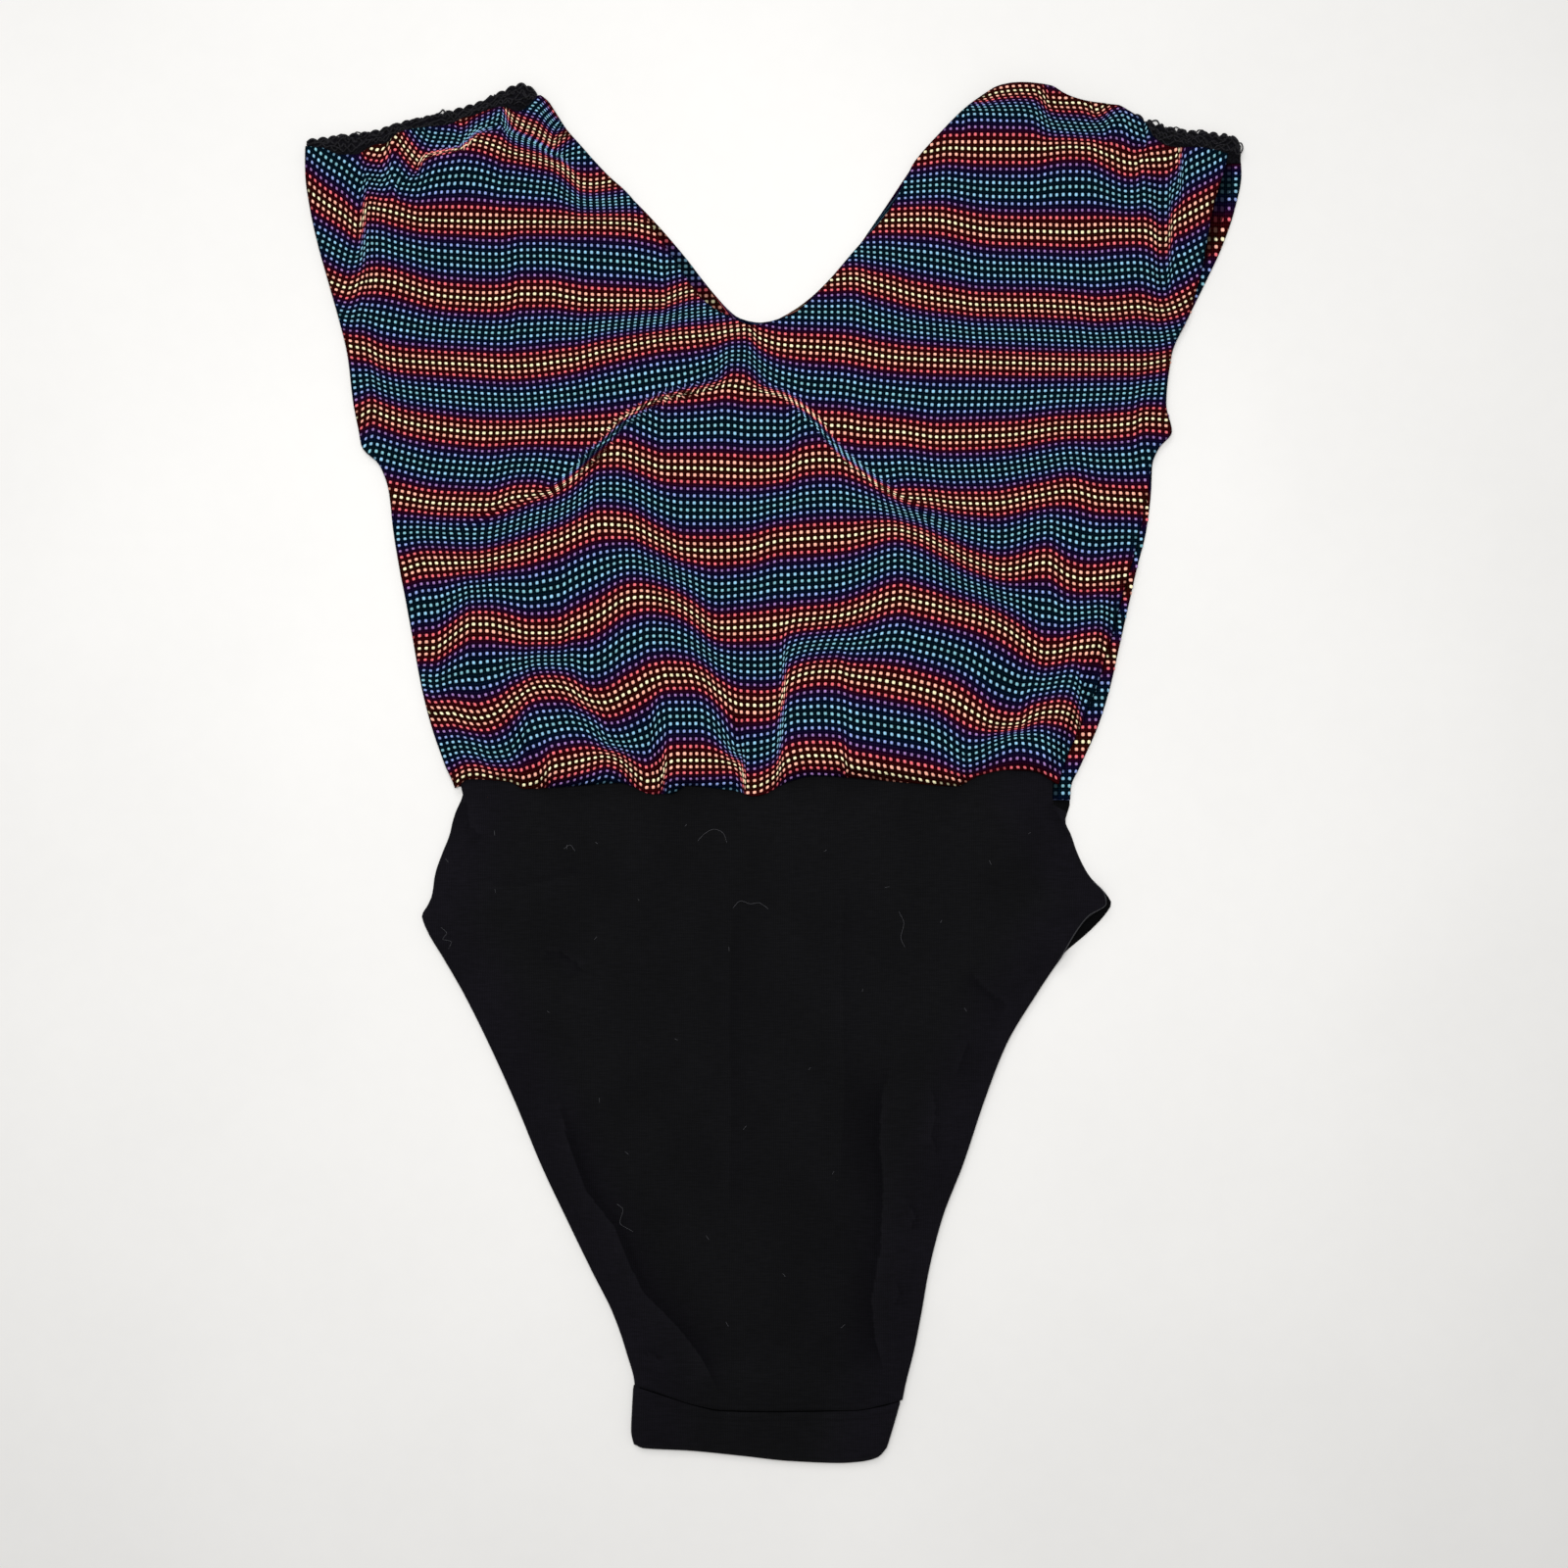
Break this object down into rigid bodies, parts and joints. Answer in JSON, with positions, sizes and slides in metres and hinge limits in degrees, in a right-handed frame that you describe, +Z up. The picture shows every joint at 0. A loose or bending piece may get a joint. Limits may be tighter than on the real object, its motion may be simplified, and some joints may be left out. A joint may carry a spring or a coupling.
{
  "type": "leotard",
  "caption": "Leotard laid flat: dotted knit bodice with gathered cap shoulders, deep V neck and bloused waist, on a high-cut black jersey brief with a crotch band.",
  "frame": {"origin": "middle of the underside, on the surface that the garment lies on", "axes": "+Y from the crotch to the shoulders, +X towards the open armhole on the right of the view from above, +Z up out of the surface"},
  "size_m": [0.477, 0.7037, 0.0172],
  "materials": {
    "dotted_knit": "matt black stretch knit with raised rows of small square dots in a repeating run of yellow, salmon, red, purple, blue and teal",
    "black_jersey": "matt black cotton jersey with a fine knit grain and a little white lint",
    "black_lace": "black elastic lace with a scalloped edge"
  },
  "bodies": {
    "root": {"front_bodice": "dotted_knit", "back_bodice": "dotted_knit", "front_brief": "black_jersey", "back_brief": "black_jersey", "crotch_band_front": "black_jersey", "crotch_band_back": "black_jersey", "shoulder_lace_left": "black_lace", "shoulder_lace_right": "black_lace"}
  },
  "joints": []
}
